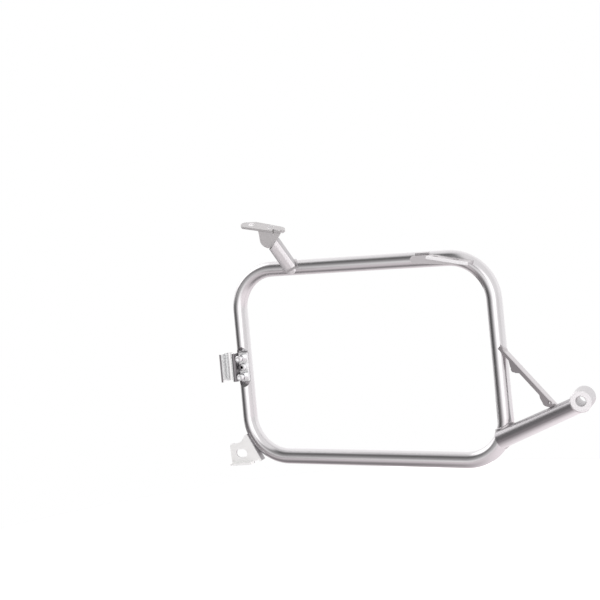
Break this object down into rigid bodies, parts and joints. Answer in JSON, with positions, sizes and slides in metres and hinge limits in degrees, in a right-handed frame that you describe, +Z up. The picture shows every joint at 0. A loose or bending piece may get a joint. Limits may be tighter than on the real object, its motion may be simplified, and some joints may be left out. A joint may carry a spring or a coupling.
{
  "type": "pannier frame",
  "caption": "Tube hoop that carries a side case on a motorbike, with a rear arm and bush, bolt-on top brackets, a lower tab and a latch plate.",
  "frame": {"origin": "middle of the bore of the bush at the end of the rear arm", "axes": "+Z up, +X to the rear of the bike, -Y out of the bush towards the side the brackets stand on, which the picture is taken from"},
  "size_m": [0.4463, 0.047, 0.2957],
  "materials": {
    "polished_tube": "polished stainless tube",
    "satin_steel": "satin stainless sheet",
    "arm_steel": "satin drawn tube",
    "fastener_steel": "bright steel",
    "weld_steel": "cleaned weld"
  },
  "bodies": {
    "root": {"hoop_tube": "polished_tube", "front_stub": "satin_steel", "front_top_bracket": "satin_steel", "rear_top_bracket": "satin_steel", "lower_front_tab": "satin_steel", "rear_arm_tube": "arm_steel", "cross_bush": "satin_steel", "brace": "satin_steel", "latch_hook": "satin_steel", "latch_boss": "fastener_steel", "latch_screw_upper": "fastener_steel", "latch_screw_lower": "fastener_steel", "latch_washer_upper": "fastener_steel", "latch_washer_lower": "fastener_steel", "latch_nut_upper": "fastener_steel", "latch_nut_lower": "fastener_steel", "stub_foot_weld": "weld_steel", "stub_top_weld": "weld_steel", "rear_bracket_weld": "weld_steel", "tab_weld": "weld_steel", "arm_weld": "weld_steel", "bush_weld": "weld_steel", "brace_top_weld": "weld_steel", "brace_foot_weld": "weld_steel"}
  },
  "joints": []
}
